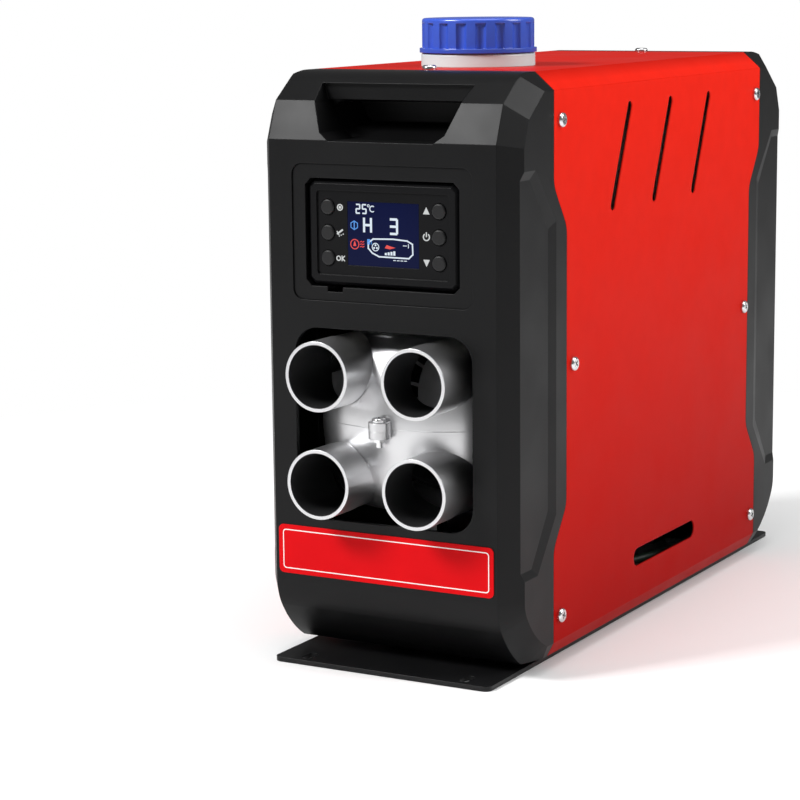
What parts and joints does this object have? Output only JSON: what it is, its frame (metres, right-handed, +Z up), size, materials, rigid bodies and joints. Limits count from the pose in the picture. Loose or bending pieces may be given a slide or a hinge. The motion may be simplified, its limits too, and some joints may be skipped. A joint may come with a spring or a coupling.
{
  "type": "parking air heater",
  "caption": "All-in-one liquid-fuel parking air heater with a red sheet body, black end covers, front duct outlets, a screen controller and a blue screw filler cap.",
  "frame": {"origin": "middle of the base plate's underside, on the surface that the heater stands on", "axes": "+Z up, -Y out of the front face with the outlets, +X to the right seen from the front"},
  "size_m": [0.1794, 0.4235, 0.3475],
  "materials": {
    "black_moulding": "fine satin texture",
    "controller_moulding": "satin",
    "red_paint": "semi-gloss powder coat",
    "black_paint": "satin powder coat",
    "silver_manifold": "satin",
    "cast_alloy": "as cast",
    "plated_screw": "bright nickel",
    "zinc_steel": "zinc plated",
    "blue_cap": "semi-gloss",
    "white_collar": "semi-gloss",
    "tank_moulding": "translucent natural",
    "red_label": "smooth film with a thin white border",
    "button_rubber": "matt",
    "screen_glass": "clear",
    "display": "lit panel",
    "green_board": "solder mask",
    "black_rubber": "matt",
    "red_silicone": "matt",
    "inner_moulding": "glass-filled",
    "fuel_hose": "smooth",
    "motor_steel": "satin"
  },
  "bodies": {
    "root": {"front_cover": "black_moulding", "rear_cover": "black_moulding", "housing_shell": "red_paint", "bottom_pan": "zinc_steel", "tank_shelf": "zinc_steel", "base_plate": "black_paint", "base_spacers": "black_rubber", "base_screws": "zinc_steel", "panel_screws": "plated_screw", "controller_frame": "black_moulding", "controller_housing": "controller_moulding", "controller_back": "controller_moulding", "controller_board": "green_board", "display_module": "display", "screen_window": "screen_glass", "controller_lead": "black_rubber", "manifold_upper": "silver_manifold", "manifold_lower": "silver_manifold", "manifold_screw": "plated_screw", "manifold_clamp": "zinc_steel", "label_plate": "red_label", "neck_collar": "white_collar", "fuel_tank": "tank_moulding", "feed_hoses": "fuel_hose", "delivery_hose": "fuel_hose", "fuel_filter": "tank_moulding", "dosing_pump": "zinc_steel", "pump_mount": "black_rubber", "pump_spring": "zinc_steel", "casing_upper": "inner_moulding", "casing_lower": "inner_moulding", "core_legs": "zinc_steel", "heat_exchanger": "cast_alloy", "exchanger_gasket": "inner_moulding", "burner": "zinc_steel", "glow_plug": "zinc_steel", "heat_sensor": "zinc_steel", "blower_housing": "cast_alloy", "fan_motor": "motor_steel", "motor_bearings": "zinc_steel", "exhaust_pipe": "zinc_steel", "intake_pipe": "black_rubber", "pipe_grommets": "black_rubber", "control_board": "green_board", "supply_lead": "black_rubber", "terminal_block": "white_collar", "rear_guard": "black_moulding", "power_gland": "black_moulding"},
    "cap_seal": {"cap_seal": "red_silicone"},
    "filler_cap": {"filler_cap": "blue_cap"},
    "fan_rotor": {"motor_rotor": "zinc_steel", "combustion_fan": "inner_moulding", "circulation_fan": "inner_moulding"},
    "pump_piston": {"pump_piston": "zinc_steel"},
    "button_mode": {"button_mode": "button_rubber"},
    "button_pump": {"button_pump": "button_rubber"},
    "button_confirm": {"button_confirm": "button_rubber"},
    "button_up": {"button_up": "button_rubber"},
    "button_power": {"button_power": "button_rubber"},
    "button_down": {"button_down": "button_rubber"}
  },
  "joints": [
    {"name": "cap_rise", "type": "slide", "parent": "root", "child": "cap_seal", "axis": [0, 0, 1], "range_m": [0, 0.009]},
    {"name": "cap_turn", "type": "hinge", "parent": "cap_seal", "child": "filler_cap", "pos_m": [0, -0.084, 0.338], "axis": [0, 0, 1], "range_deg": [0, 540]},
    {"name": "fan_spin", "type": "hinge", "parent": "root", "child": "fan_rotor", "pos_m": [0, 0.09, 0.1336], "axis": [0, 1, 0], "continuous": true},
    {"name": "piston_stroke", "type": "slide", "parent": "root", "child": "pump_piston", "axis": [0, 0, 1], "range_m": [0, 0.002], "stiffness_N_per_m": 600, "deforming": ["pump_spring"]},
    {"name": "mode_press", "type": "slide", "parent": "root", "child": "button_mode", "axis": [0, 1, 0], "range_m": [0, 0.0005], "stiffness_N_per_m": 400},
    {"name": "pump_press", "type": "slide", "parent": "root", "child": "button_pump", "axis": [0, 1, 0], "range_m": [0, 0.0005], "stiffness_N_per_m": 400},
    {"name": "confirm_press", "type": "slide", "parent": "root", "child": "button_confirm", "axis": [0, 1, 0], "range_m": [0, 0.0005], "stiffness_N_per_m": 400},
    {"name": "up_press", "type": "slide", "parent": "root", "child": "button_up", "axis": [0, 1, 0], "range_m": [0, 0.0005], "stiffness_N_per_m": 400},
    {"name": "power_press", "type": "slide", "parent": "root", "child": "button_power", "axis": [0, 1, 0], "range_m": [0, 0.0005], "stiffness_N_per_m": 400},
    {"name": "down_press", "type": "slide", "parent": "root", "child": "button_down", "axis": [0, 1, 0], "range_m": [0, 0.0005], "stiffness_N_per_m": 400}
  ],
  "couplings": [
    {"joint": "cap_turn", "follows": "cap_rise", "rad_per_m": 1047}
  ]
}
